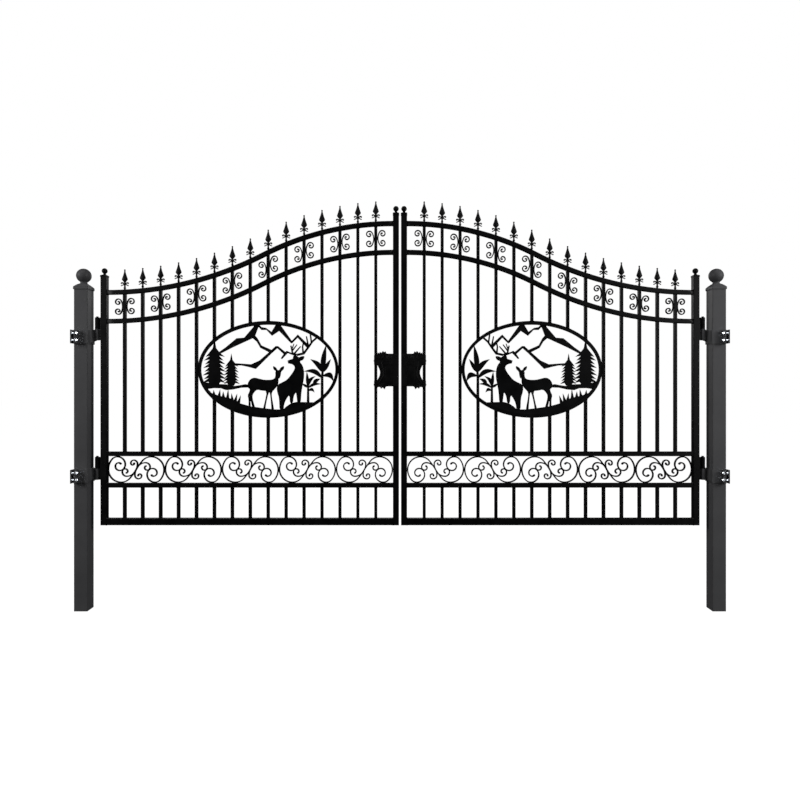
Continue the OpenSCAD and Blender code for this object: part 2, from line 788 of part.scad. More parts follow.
module plants() {
    stroke([[361, -215], [361, -60], [364, -10]], 20, 15);
    stroke([[267, -226], [267, -112]], 18, 13);
    polygon(fitted(leaf_outline([364, -20], [388, 165], 34, 5)));
    polygon(fitted(leaf_outline([362, -18], [280, 68], 32, -14)));
    polygon(fitted(leaf_outline([364, -20], [420, 70], 25, 0)));
    polygon(fitted(leaf_outline([362, -42], [438, -84], 34, 28)));
    polygon(fitted(leaf_outline([362, -58], [236, -14], 30, -24)));
    polygon(fitted(leaf_outline([267, -118], [258, -14], 20, 0)));
    polygon(fitted(leaf_outline([267, -112], [318, -44], 22, 14)));
    polygon(fitted(leaf_outline([267, -120], [222, -92], 15, 0)));
    polygon(fitted(leaf_outline([267, -122], [358, -98], 18, 12)));
    polygon(fitted(leaf_outline([300, -104], [352, -62], 24, 10)));
    polygon(fitted(leaf_outline([267, -140], [310, -154], 20, 14)));
}

module antlers() {
    stroke([[192, 96], [238, 106], [270, 149], [294, 184], [345, 228]], 16, 12);
    stroke([[234, 108], [230, 150], [238, 190]], 12, 8);
    stroke([[269, 152], [256, 218]], 12, 8);
    stroke([[289, 180], [280, 250]], 11, 10);
    stroke([[190, 96], [162, 110], [152, 156]], 14, 9);
    stroke([[160, 122], [192, 164]], 10, 6);
    stroke([[176, 106], [216, 152]], 12, 7);
    stroke([[158, 132], [172, 170]], 9, 5);
}

module scene() {
    polygon(fitted(softened(doe)));
    polygon(fitted(softened(stag)));
    polygon(fitted(ground));
    polygon(fitted(tree_bank));
    polygon(fitted(left_ridge));
    polygon(fitted(high_ridge));
    polygon(fitted(low_ridge));
    polygon(fitted(pine(-360, -96, 300, 84, 8)));
    polygon(fitted(pine(-247, -100, 206, 58, 7)));
    plants();
    antlers();
    for (g = grass)
        polygon(fitted([[g[0] - blade_w / 2, g[1]], [g[2], g[3]], [g[0] + blade_w / 2, g[1] - 4]]));
}

module medallion() {
    color(steel)
        translate([medallion_x, 0, medallion_z]) {
            upright(ring_depth)
                difference() {
                    polygon(oval(ring_a, ring_b));
                    polygon(oval(ring_a - ring_side, ring_b - ring_top));
                }
            upright(scene_t)
                intersection() {
                    polygon(oval(ring_a - ring_side / 2, ring_b - ring_top / 2));
                    scene();
                }
        }
}

// ---- Lock plates ----

last_picket_x = picket_x(picket_count);
lock_left = last_picket_x - picket_side / 2 - 1;
lock_right = leaf_width - 2;
lock_back_y = -stile_side / 2;
lock_top = lock_z + lock_h / 2;
lock_low = lock_z - lock_h / 2;
lock_tab_t = 4;
lock_tab_x = last_picket_x + picket_side / 2;
lock_bolts_z = [lock_top - upper_bolt_drop, lock_low + lower_bolt_rise];
lock_head_h = 5;

// Spiked edges of the plate, measured from the picket's inner face and the plate's edge
crown_edge = [[2, -3], [3, 9], [9, 1], [16, 4], [19, 14], [25, 6], [33, 9], [40, 19], [45, 9],
    [52, 9], [56, 17], [60, 4], [66, 0]];
root_edge = [[64, 0], [56, -5], [50, -21], [42, -8], [34, -8], [26, -17], [20, -5], [6, -4], [2, -9]];

// A row of points along the hollow edge next to the picket
function hollow_edge() =
    [for (a = [-90:15:90])
        [lock_tab_x + lock_hollow * cos(a) - 1, lock_z - lock_hollow_drop + lock_hollow_h * a / 180]];

module lock_body() {
    polygon(concat(
        [[lock_left, lock_low], [lock_left, lock_z - lock_hollow_drop - lock_hollow_h / 2]],
        hollow_edge(),
        [[lock_left, lock_z - lock_hollow_drop + lock_hollow_h / 2], [lock_left, lock_top - 10]],
        [for (p = crown_edge) [lock_tab_x + p[0], lock_top + p[1]]],
        [[lock_right, lock_top], [lock_right, lock_low]],
        [for (p = root_edge) [lock_tab_x + p[0], lock_low + p[1]]]));
}

// Along X through the last picket and the tab behind it, at both bolt heights
module at_lock_bolts() {
    for (z = lock_bolts_z)
        translate([lock_tab_x - picket_side, 0, z])
            rotate([0, 90, 0])
                children();
}

module lock_bolt_holes() {
    at_lock_bolts()
        translate([0, 0, -1])
            cylinder(h = picket_side + lock_tab_t + 2, d = lock_bolt_d + 2 * bolt_clearance, $fn = 32);
}

// A plate on the stile's front, with two tabs turned back along the picket
module lock_plate() {
    color(steel) {
        upright(lock_t, lock_back_y - lock_t / 2)
            lock_body();
        difference() {
            for (z = lock_bolts_z)
                translate([lock_tab_x, lock_back_y, z - lock_tab_h / 2])
                    cube([lock_tab_t, picket_side / 2 - lock_back_y, lock_tab_h]);
            lock_bolt_holes();
        }
    }
}

module lock_bolts() {
    color(steel)
        at_lock_bolts() {
            translate([0, 0, -lock_head_h])
                cylinder(h = lock_head_h, d = 1.6 * lock_bolt_d, $fn = 32);
            cylinder(h = picket_side + lock_tab_t + lock_bolt_d, d = lock_bolt_d, $fn = 32);
            translate([0, 0, picket_side + lock_tab_t])
                cylinder(h = lock_bolt_d / 2, d = 1.8 * lock_bolt_d, $fn = 6);
        }
}

// ---- Nodes ----

post();  // left_post
post_cap();  // left_post_cap
hinge_brackets();  // left_hinge_brackets
clamp_plates();  // left_clamp_plates
clamp_bolts();  // left_clamp_bolts

right_half() post();  // right_post
right_half() post_cap();  // right_post_cap
right_half() hinge_brackets();  // right_hinge_brackets
right_half() clamp_plates();  // right_clamp_plates
right_half() clamp_bolts();  // right_clamp_bolts

left_leaf() hinge_stile();  // left_hinge_stile
left_leaf() meeting_stile();  // left_meeting_stile
left_leaf() stile_caps();  // left_stile_caps
left_leaf() bottom_rail();  // left_bottom_rail
left_leaf() band_lower_rail();  // left_band_lower_rail
left_leaf() band_upper_rail();  // left_band_upper_rail
left_leaf() arch_rail(arch_spacing);  // left_arch_lower_rail
left_leaf() arch_rail(0);  // left_arch_top_rail
left_leaf() pickets();  // left_pickets
left_leaf() finials();  // left_finials
left_leaf() c_scrolls();  // left_c_scrolls
left_leaf() band_scrolls();  // left_band_scrolls
left_leaf() medallion();  // left_medallion
left_leaf() lock_plate();  // left_lock_plate
left_leaf() lock_bolts();  // left_lock_bolts
left_leaf() leaf_hinges();  // left_leaf_hinges

right_leaf() hinge_stile();  // right_hinge_stile
right_leaf() meeting_stile();  // right_meeting_stile
right_leaf() stile_caps();  // right_stile_caps
right_leaf() bottom_rail();  // right_bottom_rail
right_leaf() band_lower_rail();  // right_band_lower_rail
right_leaf() band_upper_rail();  // right_band_upper_rail
right_leaf() arch_rail(arch_spacing);  // right_arch_lower_rail
right_leaf() arch_rail(0);  // right_arch_top_rail
right_leaf() pickets();  // right_pickets
right_leaf() finials();  // right_finials
right_leaf() c_scrolls();  // right_c_scrolls
right_leaf() band_scrolls();  // right_band_scrolls
right_leaf() medallion();  // right_medallion
right_leaf() lock_plate();  // right_lock_plate
right_leaf() lock_bolts();  // right_lock_bolts
right_leaf() leaf_hinges();  // right_leaf_hinges
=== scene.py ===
"""Looks of a double driveway gate in black powder-coated steel.

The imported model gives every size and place. This script dresses it: it rounds the edges of the
tubes and bars, casts the finials and caps, cuts threads on the clamp bolts, lays the weld beads
and sets the studio. Lengths are metres, in the model's own frame: +X along the gate, +Z up.
"""

import logging
import math
from collections.abc import Callable, Sequence
from dataclasses import dataclass, field
from enum import Enum

import bmesh
import bpy
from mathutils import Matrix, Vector


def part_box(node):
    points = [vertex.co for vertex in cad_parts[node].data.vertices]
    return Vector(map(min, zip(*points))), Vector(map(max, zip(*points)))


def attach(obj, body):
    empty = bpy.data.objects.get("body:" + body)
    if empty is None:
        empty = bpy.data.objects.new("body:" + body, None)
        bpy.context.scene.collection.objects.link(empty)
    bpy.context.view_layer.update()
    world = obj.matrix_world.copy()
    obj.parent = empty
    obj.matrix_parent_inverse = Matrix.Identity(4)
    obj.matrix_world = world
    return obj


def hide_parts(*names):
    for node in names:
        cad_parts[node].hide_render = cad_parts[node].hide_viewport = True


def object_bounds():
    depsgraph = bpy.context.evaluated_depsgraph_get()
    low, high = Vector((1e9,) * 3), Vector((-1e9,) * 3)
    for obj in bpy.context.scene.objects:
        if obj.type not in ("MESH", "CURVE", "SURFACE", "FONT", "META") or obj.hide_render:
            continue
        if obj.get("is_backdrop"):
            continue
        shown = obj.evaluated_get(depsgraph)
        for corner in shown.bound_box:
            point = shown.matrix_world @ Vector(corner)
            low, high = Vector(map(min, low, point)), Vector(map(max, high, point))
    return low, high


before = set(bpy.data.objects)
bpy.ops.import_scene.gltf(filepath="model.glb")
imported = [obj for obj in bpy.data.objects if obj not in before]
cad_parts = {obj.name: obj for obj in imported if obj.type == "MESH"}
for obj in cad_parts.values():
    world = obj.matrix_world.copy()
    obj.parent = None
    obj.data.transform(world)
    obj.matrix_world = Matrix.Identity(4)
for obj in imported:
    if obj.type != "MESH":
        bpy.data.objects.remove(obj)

MM = 0.001
MERGE = 0.005 * MM
X, Y, Z = Vector((1, 0, 0)), Vector((0, 1, 0)), Vector((0, 0, 1))
Place = tuple[float, float, float]
log = logging.getLogger("gate")


class Side(Enum):
    """The two halves of the gate."""

    LEFT = "left"
    RIGHT = "right"

    @property
    def inward(self) -> float:
        """The sign of +X that points from this half's post to the gate's centre."""
        return 1.0 if self is Side.LEFT else -1.0

    def node(self, part: str) -> str:
        """The name of this half's CAD node for a part."""
        return f"{self.value}_{part}"

    @property
    def leaf(self) -> str:
        """The body that this half's leaf pieces ride on."""
        return f"{self.value}_leaf"


class Run(Enum):
    """Which way a bar runs, and so which of its edges are rounded."""

    UPRIGHT = "upright"
    LEVEL = "level"
    CURLED = "curled"
    EVERY = "every"


# ---- Materials ----


def linear(code: str) -> tuple[float, float, float, float]:
    """Turns an sRGB hex colour into a linear one.

    Args:
        code: Six hex digits, with or without a leading #.

    Returns:
        Red, green, blue and alpha in linear light.
    """
    digits = code.lstrip("#")
    shares = [int(digits[i : i + 2], 16) / 255 for i in (0, 2, 4)]
    red, green, blue = [s / 12.92 if s <= 0.04045 else ((s + 0.055) / 1.055) ** 2.4 for s in shares]
    return red, green, blue, 1.0


def per_metre(pitch_mm: float) -> float:
    """The pattern scale that repeats every pitch_mm, for coordinates in metres."""
    return 1.0 / (pitch_mm * MM)


def add_node(
    tree: bpy.types.NodeTree,
    kind: str,
    settings: dict[str, object] | None = None,
    inputs: dict[str, object] | None = None,
    stops: Sequence[tuple[float, str]] = (),
) -> bpy.types.Node:
    """Adds a shader node with its settings and links.

    Args:
        tree: The material's or world's node tree.
        kind: Blender's name for the node's type.
        settings: Values of the node's own properties.
        inputs: For each socket name, a value or the output socket that feeds it.
        stops: A colour ramp's two positions, each with its sRGB hex colour.

    Returns:
        The new node.
    """
    node = tree.nodes.new(kind)
    for name, value in (settings or {}).items():
        setattr(node, name, value)
    for name, value in (inputs or {}).items():
        if isinstance(value, bpy.types.NodeSocket):
            tree.links.new(value, node.inputs[name])
        else:
            node.inputs[name].default_value = value
    for i, (position, code) in enumerate(stops):
        node.color_ramp.elements[i].position = position
        node.color_ramp.elements[i].color = linear(code)
    return node


@dataclass(frozen=True, kw_only=True)
class Finish:
    """A thin finish over steel, clouded slowly and grained finely.

    Attributes:
        name: The finish's common name.
        slot: The record's material slot; not used.
        main: sRGB colour over most of the surface.
        cloud: sRGB colour where it clouds, from a thinner film, dust or handling.
        cloud_mm: Size of the clouds.
        cloud_from: Where the clouds start and where they are full, from 0 to 1.
        cloud_detail: How many finer layers break up the clouds.
        grain_mm: Size of the surface's small waves or marks.
        grain_depth_mm: Height of those waves.
        grain_detail: How many finer layers break up the grain.
        grain_strength: Share of the grain that shows.
        roughness: Lowest and highest roughness over the surface.
    """

    name: str
    slot: str
    main: str
    cloud: str
    cloud_mm: float
    cloud_from: tuple[float, float] = (0.35, 0.75)
    cloud_detail: float = 4.0
    grain_mm: float
    grain_depth_mm: float
    grain_detail: float = 2.0
    grain_strength: float = 1.0
    roughness: tuple[float, float]

    def reflection(self) -> dict[str, object]:
        """The shader's own values for how the finish reflects."""
        raise NotImplementedError

    def material(self) -> bpy.types.Material:
        """Builds the finish, or returns it if it is already built."""
        if self.name in bpy.data.materials:
            return bpy.data.materials[self.name]
        material = bpy.data.materials.new(self.name)
        material.use_nodes = True
        tree = material.node_tree
        tree.nodes.clear()
        place = add_node(tree, "ShaderNodeTexCoord").outputs["Object"]
        cloud, grain = (
            add_node(
                tree,
                "ShaderNodeTexNoise",
                inputs={"Vector": place, "Scale": per_metre(size_mm), "Detail": detail, "Roughness": breakup},
            ).outputs["Fac"]
            for size_mm, detail, breakup in (
                (self.cloud_mm, self.cloud_detail, 0.6),
                (self.grain_mm, self.grain_detail, 0.5),
            )
        )
        stops = list(zip(self.cloud_from, (self.main, self.cloud)))
        colour = add_node(tree, "ShaderNodeValToRGB", inputs={"Fac": cloud}, stops=stops).outputs["Color"]
        low, high = self.roughness
        rough = add_node(
            tree,
            "ShaderNodeMapRange",
            inputs={"Value": cloud, "From Min": 0.3, "From Max": 0.7, "To Min": low, "To Max": high},
        ).outputs["Result"]
        bump = add_node(
            tree,
            "ShaderNodeBump",
            inputs={"Height": grain, "Strength": self.grain_strength, "Distance": self.grain_depth_mm * MM},
        ).outputs["Normal"]
        surface = add_node(
            tree,
            "ShaderNodeBsdfPrincipled",
            inputs={"Base Color": colour, "Roughness": rough, "Normal": bump, **self.reflection()},
        )
        add_node(tree, "ShaderNodeOutputMaterial", inputs={"Surface": surface.outputs["BSDF"]})
        return material


@dataclass(frozen=True, kw_only=True)
class Coating(Finish):
    """A resin film.

    Attributes:
        specular: How strongly the resin reflects, where 0.5 stands for IOR 1.5.
    """

    specular: float

    def reflection(self) -> dict[str, object]:
        """The shader's own values for how the resin reflects."""
        return {"Metallic": 0.0, "IOR": 1.5, "Specular IOR Level": self.specular}


@dataclass(frozen=True, kw_only=True)
class Plating(Finish):
    """A metal film."""

    def reflection(self) -> dict[str, object]:
        """The shader's own values for how the metal reflects."""
        return {"Metallic": 1.0}


# Satin polyester powder coat, sprayed dry and baked. The melt levels into a faint orange peel,
# about 2 mm from crest to crest, drawn here three times as wide so that it shows. It gives the
# eye a deep black with soft, slightly broken highlights.
POWDER_COAT = Coating(
    name="satin_black",
    slot="powder_coat",
    main="#0b0b0c",
    cloud="#161618",
    cloud_mm=90.0,
    grain_mm=6.0,
    grain_depth_mm=0.06,
    roughness=(0.40, 0.52),
    specular=0.22,
)

# The same powder on sand-cast iron. The mould's sand leaves a coarser, duller skin that the
# film doesn't hide, so castings look drier than the tubes around them.
CAST_BLACK = Coating(
    name="sand_cast_black",
    slot="cast_black",
    main="#0e0e0f",
    cloud="#1a1a1b",
    cloud_mm=40.0,
    grain_mm=3.0,
    grain_depth_mm=0.12,
    roughness=(0.46, 0.60),
    specular=0.22,
)

# The posts wear a lighter charcoal copy of the leaves' black powder. Its colour is painted light:
# it stands in for the light that their broad faces catch, so that they read as dark grey where
# the leaves read as black.
POST_COAT_PAINTED_LIGHT = Coating(
    name="post_coat_painted_light",
    slot="powder_coat",
    main="#6a6a6c",
    cloud="#727274",
    cloud_mm=160.0,
    grain_mm=6.0,
    grain_depth_mm=0.05,
    roughness=(0.42, 0.52),
    specular=0.2,
)

# The clamps wear the posts' lighter copy of the coat, with the same painted light in its colour.
# The film clouds over a shorter length on their small bent plates than on the long tubes.
CLAMP_COAT_PAINTED_LIGHT = Coating(
    name="clamp_coat_painted_light",
    slot="powder_coat",
    main="#6a6a6c",
    cloud="#727274",
    cloud_mm=60.0,
    grain_mm=6.0,
    grain_depth_mm=0.05,
    roughness=(0.42, 0.52),
    specular=0.2,
)

# Bright zinc electroplated on steel, with a clear passivated film that handling has clouded. It
# gives the eye small blue-white glints with soft edges.
ZINC = Plating(
    name="bright_zinc",
    slot="zinc_plate",
    main="#d9dde2",
    cloud="#a9adb1",
    cloud_mm=9.0,
    cloud_from=(0.4, 0.8),
    cloud_detail=5.0,
    grain_mm=0.8,
    grain_depth_mm=0.02,
    grain_detail=1.0,
    grain_strength=0.3,
    roughness=(0.30, 0.50),
)


# ---- Making meshes ----


class Forge:
    """Collects the rings and skins of one piece and turns them into a mesh object."""

    def __init__(self) -> None:
        """Starts with an empty piece."""
        self.points: list[Vector] = []
        self.faces: list[tuple[int, ...]] = []

    def skin(self, rings: Sequence[Sequence[Vector]], closed: bool = False) -> None:
        """Skins a row of rings that all have the same number of points.

        Args:
            rings: The rings in order along the piece.
            closed: Whether the last ring joins the first, instead of both being capped.
        """
        start, count = len(self.points), len(rings[0])
        for ring in rings:
            self.points.extend(ring)
        spans = len(rings) if closed else len(rings) - 1
        for i in range(spans):
            here, there = start + i * count, start + (i + 1) % len(rings) * count
            for j in range(count):
                k = (j + 1) % count
                self.faces.append((here + j, here + k, there + k, there + j))
        if not closed:
            self.faces.append(tuple(range(start + count - 1, start - 1, -1)))
            self.faces.append(tuple(range(start + len(rings) * count - count, start + len(rings) * count)))

    def finish(self, name: str, sharp: float = 35.0) -> bpy.types.Object:
        """Turns what was collected into a mesh object.

        Args:
            name: The piece's name.
            sharp: Edges bent by more than this many degrees stay crisp.

        Returns:
            The object, linked to the scene.
        """
        mesh = bpy.data.meshes.new(name)
        mesh.from_pydata([tuple(p) for p in self.points], [], self.faces)
        work = bmesh.new()
        work.from_mesh(mesh)
        bmesh.ops.recalc_face_normals(work, faces=work.faces)
        work.to_mesh(mesh)
        work.free()
        return smooth_object(name, mesh, sharp)


def smooth_object(name: str, mesh: bpy.types.Mesh, sharp: float) -> bpy.types.Object:
    """Links a mesh as an object with smooth faces and crisp edges.

    Args:
        name: The piece's name.
        mesh: Its mesh.
        sharp: Edges bent by more than this many degrees stay crisp.

    Returns:
        The object.
    """
    mesh.validate()
    mesh.shade_smooth()
    mesh.set_sharp_from_angle(angle=math.radians(sharp))
    piece = bpy.data.objects.new(name, mesh)
    bpy.context.scene.collection.objects.link(piece)
    return piece


def dress(piece: bpy.types.Object, finish: Finish, body: str, *nodes: str) -> bpy.types.Object:
    """Gives a piece its finish and body, and hides the CAD nodes that it stands for.

    Args:
        piece: The piece, in place.
        finish: Its finish.
        body: The CAD body that it moves with.
        nodes: The CAD nodes that it replaces.

    Returns:
        The piece.
    """
    piece.data.materials.clear()
    piece.data.materials.append(finish.material())
    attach(piece, body)
    if nodes:
        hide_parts(*nodes)
    log.info("%s: %d faces on %s", piece.name, len(piece.data.polygons), body)
    return piece


def clean_mesh(node: str) -> bmesh.types.BMesh:
    """Gives a CAD node's surface with its points merged and its flats whole.

    Args:
        node: The CAD node's name.

    Returns:
        A new bmesh, which the caller frees.
    """
    work, flat = bmesh.new(), math.radians(0.2)
    work.from_mesh(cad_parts[node].data)
    bmesh.ops.remove_doubles(work, verts=work.verts, dist=MERGE)
    bmesh.ops.dissolve_limit(
        work, angle_limit=flat, verts=work.verts, edges=work.edges, use_dissolve_boundaries=False
    )
    return work


def solids(node: str) -> list[list[Vector]]:
    """Splits a CAD node into its separate solids.

    Args:
        node: The CAD node's name.

    Returns:
        The corner points of each solid, ordered along X and then Z.
    """
    work = clean_mesh(node)
    left = set(work.verts)
    found: list[list[Vector]] = []
    while left:
        group, front = [], [left.pop()]
        while front:
            vert = front.pop()
            group.append(vert.co.copy())
            for edge in vert.link_edges:
                other = edge.other_vert(vert)
                if other in left:
                    left.remove(other)
                    front.append(other)
        found.append(group)
    work.free()
    return sorted(found, key=lambda g: (round(low_of(g).x, 3), round(low_of(g).z, 3)))


def low_of(points: Sequence[Vector]) -> Vector:
    """The lowest corner of the points' box."""
    return Vector(min(p[i] for p in points) for i in range(3))


def high_of(points: Sequence[Vector]) -> Vector:
    """The highest corner of the points' box."""
    return Vector(max(p[i] for p in points) for i in range(3))


def is_long_edge(edge: bmesh.types.BMEdge, run: Run) -> bool:
    """Says whether an edge is one to round.

    Args:
        edge: The edge, with its two faces.
        run: Which way the bar runs.

    Returns:
        True for a sharp outer edge between the bar's front or back and one of its sides, or for
        any sharp outer edge where the run is EVERY.
    """
    sharp, square, aside = math.radians(50), 0.98, 0.2
    if len(edge.link_faces) != 2 or not edge.is_convex or edge.calc_face_angle(0.0) < sharp:
        return False
    if run is Run.EVERY:
        return True
    first, second = sorted((f.normal for f in edge.link_faces), key=lambda n: -abs(n.y))
    if abs(first.y) < square or abs(second.y) > aside:
        return False
    if run is Run.UPRIGHT:
        return abs(second.x) > square
    if run is Run.LEVEL:
        return abs(second.x) < 0.9
    return True


def rounded_bars(name: str, node: str, run: Run, radius: float, steps: int = 3) -> bpy.types.Object:
    """Copies a CAD node and rounds its long edges, as a rolled tube's or bar's are.

    Args:
        name: The new piece's name.
        node: The CAD node to copy.
        run: Which way its bars run.
        radius: The radius of the edges.
        steps: Flats across each rounded edge.

    Returns:
        The new object.
    """
    work = clean_mesh(node)
    bmesh.ops.bevel(
        work,
        geom=[e for e in work.edges if is_long_edge(e, run)],
        offset=radius,
        offset_type="OFFSET",
        segments=steps,
        profile=0.5,
        affect="EDGES",
        clamp_overlap=True,
    )
    bmesh.ops.triangulate(work, faces=[f for f in work.faces if len(f.verts) > 4])
    mesh = bpy.data.meshes.new(name)
    work.to_mesh(mesh)
    work.free()
    return even_normals(smooth_object(name, mesh, 40.0))


def even_normals(piece: bpy.types.Object) -> bpy.types.Object:
    """Weights the shading by face area, so that big flats stay flat beside rounded edges.

    Args:
        piece: An object whose mesh is final.

    Returns:
        The same object, with the weighted shading in its mesh.
    """
    modifier = piece.modifiers.new("weights", "WEIGHTED_NORMAL")
    modifier.keep_sharp = True
    modifier.weight = 100
    depsgraph = bpy.context.evaluated_depsgraph_get()
    mesh = bpy.data.meshes.new_from_object(piece.evaluated_get(depsgraph))
    piece.modifiers.clear()
    old, piece.data = piece.data, mesh
    bpy.data.meshes.remove(old)
    mesh.name = piece.name
    return piece


def circle(centre: Vector, across: Vector, up: Vector, radius: float, sides: int) -> list[Vector]:
    """The points of a circle in the plane of two unit vectors."""
    turns = [2 * math.pi * i / sides for i in range(sides)]
    return [centre + (across * math.cos(t) + up * math.sin(t)) * radius for t in turns]


def sweep(
    forge: Forge,
    path: Sequence[Vector],
    radii: Sequence[float],
    sides: int,
    flatten: float = 1.0,
    closed: bool = False,
) -> None:
    """Sweeps a round or oval section along a path in or near the XZ plane.

    Args:
        forge: The piece to add to.
        path: The points along the middle of the section.
        radii: The section's radius at each point.
        sides: The number of points round the section.
        flatten: The section's depth along Y as a share of its width.
        closed: Whether the path is a loop.
    """
    rings: list[list[Vector]] = []
    for i, point in enumerate(path):
        before = path[i - 1] if closed or i else path[i]
        after = path[(i + 1) % len(path)] if closed or i < len(path) - 1 else path[i]
        ahead = (after - before).normalized()
        guide = Y if abs(ahead.y) < 0.9 else X
        across = ahead.cross(guide).normalized()
        deep = across.cross(ahead).normalized()
        ring = [
            point + (across * math.cos(t) + deep * math.sin(t) * flatten) * radii[i]
            for t in (2 * math.pi * k / sides for k in range(sides))
        ]
        rings.append(ring)
    forge.skin(rings, closed)


def eased(points: Sequence[tuple[float, ...]], steps: int = 4) -> list[tuple[float, ...]]:
    """Runs a smooth curve through a row of points of any number of values.

    Args:
        points: The values at each point.
        steps: The number of new points for each span.

    Returns:
        Points along the curve, the given ones among them.
    """
    rows = [points[0], *points, points[-1]]
    line: list[tuple[float, ...]] = []
    for before, start, end, after in zip(rows, rows[1:], rows[2:], rows[3:]):
        for i in range(steps):
            t = i / steps
            point = []
            for a, b, c, d in zip(before, start, end, after):
                square, cube = 2 * a - 5 * b + 4 * c - d, 3 * b - a - 3 * c + d
                point.append(0.5 * (2 * b + (c - a) * t + square * t**2 + cube * t**3))
            line.append(tuple(point))
    return [*line, tuple(points[-1])]


def weld_bead(forge: Forge, corners: Sequence[Vector], size: float) -> None:
    """Lays a rippled fillet weld all round a seam.

    Args:
        forge: The piece to add to.
        corners: The corners of the seam, in order.
        size: The bead's radius; half of it sinks into the two parts that it joins.
    """
    ripple, swell = 3.0 * MM, 0.12
    path: list[Vector] = []
    for start, end in zip(corners, [*corners[1:], corners[0]]):
        steps = max(2, round((end - start).length / ripple) * 2)
        path.extend(start.lerp(end, i / steps) for i in range(steps))
    radii = [size * (1.0 + swell * (-1) ** i) for i in range(len(path))]
    sweep(forge, path, radii, sides=6, closed=True)


# ---- Square and round sections ----

# Angles of a section's points over one quarter, closer together near the corner
QUARTER = (-45, -43.5, -42, -40.5, -38, -33, -27, -20, -12, -4, 4, 12, 20, 27, 33, 38, 40.5, 42, 43.5)


def soft_square(centre: Vector, half: float, corner: float) -> list[Vector]:
    """A level ring that is a square with round corners, or a circle when corner equals half.

    Args:
        centre: The ring's middle.
        half: Half of its width.
        corner: The radius of its corners.

    Returns:
        The ring's points, in the same directions whatever the sizes.
    """
    ring: list[Vector] = []
    flat = half - corner
    for quarter in range(4):
        for degrees in QUARTER:
            a = math.radians(degrees)
            x, y = half, half * math.tan(a)
            if abs(y) > flat:
                side = math.copysign(flat, y)
                lean = flat * math.cos(a) + side * math.sin(a)
                reach = lean + math.sqrt(max(0.0, lean * lean - (2 * flat * flat - corner * corner)))
                x, y = reach * math.cos(a), reach * math.sin(a)
            turn = quarter * math.pi / 2
            c, s = math.cos(turn), math.sin(turn)
            ring.append(centre + Vector((x * c - y * s, x * s + y * c, 0)))
    return ring


@dataclass
class BallCap:
    """A square pressed cap with a low pyramid, a hollow neck and a ball.

    Attributes:
        skirt: Height of the square skirt.
        rise: Height of the pyramid.
        neck: Width of the neck where it leaves the pyramid.
        ball: Diameter of the ball.
        edge: Radius of the skirt's corners and edges.
    """

    skirt: float
    rise: float
    neck: float
    ball: float
    edge: float

    def build(self, forge: Forge, low: Vector, high: Vector) -> None:
        """Adds one cap between the corners of its CAD solid.

        Args:
            forge: The piece to add to.
            low: The lowest corner of the solid.
            high: The highest corner of the solid.
        """
        middle = (low + high) / 2
        half, foot = (high.x - low.x) / 2, low.z
        ball_r = self.ball / 2
        ball_z = high.z - ball_r
        edge = self.edge
        rings = [(foot, half - edge, edge)]
        for degrees in (0, 30, 60, 90):
            a = math.radians(degrees)
            rings.append((foot + edge * (1 - math.cos(a)), half - edge * (1 - math.sin(a)), edge))
        shoulder = foot + self.skirt
        for degrees in (0, 30, 60):
            a = math.radians(degrees)
            rings.append((shoulder - edge * (1 - math.sin(a)), half - edge * (1 - math.cos(a)), edge))
        top = shoulder + self.rise
        neck_half = self.neck / 2
        for share in (0.03, 0.25, 0.5, 0.75, 0.93):
            width = half + (neck_half - half) * share
            corner = edge + (width - edge) * max(0.0, share - 0.5) ** 2 * 4
            rings.append((shoulder + self.rise * share, width, min(corner, width)))
        rings.append((top, neck_half * 0.99, neck_half * 0.99))
        touch, crown = math.radians(-62), math.radians(88)
        waist = neck_half * 0.93
        rings.append((top + (ball_z + ball_r * math.sin(touch) - top) * 0.5, waist, waist))
        bands = 24
        for i in range(bands + 1):
            a = touch + (crown - touch) * i / bands
            rings.append((ball_z + ball_r * math.sin(a), ball_r * math.cos(a), ball_r * math.cos(a)))
        forge.skin([soft_square(Vector((middle.x, middle.y, z)), w, c) for z, w, c in rings])


def soft_box(
    name: str, place: Place, target: Place, size: tuple[float, float], watts: float
) -> bpy.types.Object:
    """Hangs one soft box that faces a target.

    Args:
        name: The lamp's name.
        place: Where it hangs.
        target: The point that it faces.
        size: Its width and height.
        watts: Its power.

    Returns:
        The lamp.
    """
    data = bpy.data.lights.new(name, "AREA")
    data.shape = "RECTANGLE"
    data.size, data.size_y = size
    data.energy = watts
    lamp = bpy.data.objects.new(name, data)
    lamp.location = place
    lamp.rotation_euler = (Vector(target) - Vector(place)).to_track_quat("-Z", "Y").to_euler()
    bpy.context.scene.collection.objects.link(lamp)
    return lamp


# ---- Sub-assemblies ----


@dataclass
class Posts:
    """The two square posts with their caps.

    Attributes:
        corner: Radius of the tube's corners.
        cap: The cap on each post.
    """

    corner: float = 4.0 * MM
    cap: BallCap = field(
        default_factory=lambda: BallCap(skirt=18 * MM, rise=26 * MM, neck=47 * MM, ball=95 * MM, edge=2.5 * MM)
    )

    def build(self) -> None:
        """Builds both posts and their caps."""
        for side in Side:
            post = side.node("post")
            tube = rounded_bars(f"{post}_tube", post, Run.UPRIGHT, self.corner, steps=4)
            # The posts and their caps wear the lighter copy of the coat, whose colour is painted light.
            dress(tube, POST_COAT_PAINTED_LIGHT, "posts", post)
            node = side.node("post_cap")
            forge = Forge()
            self.cap.build(forge, *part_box(node))
            dress(forge.finish(f"{node}_pressing"), POST_COAT_PAINTED_LIGHT, "posts", node)


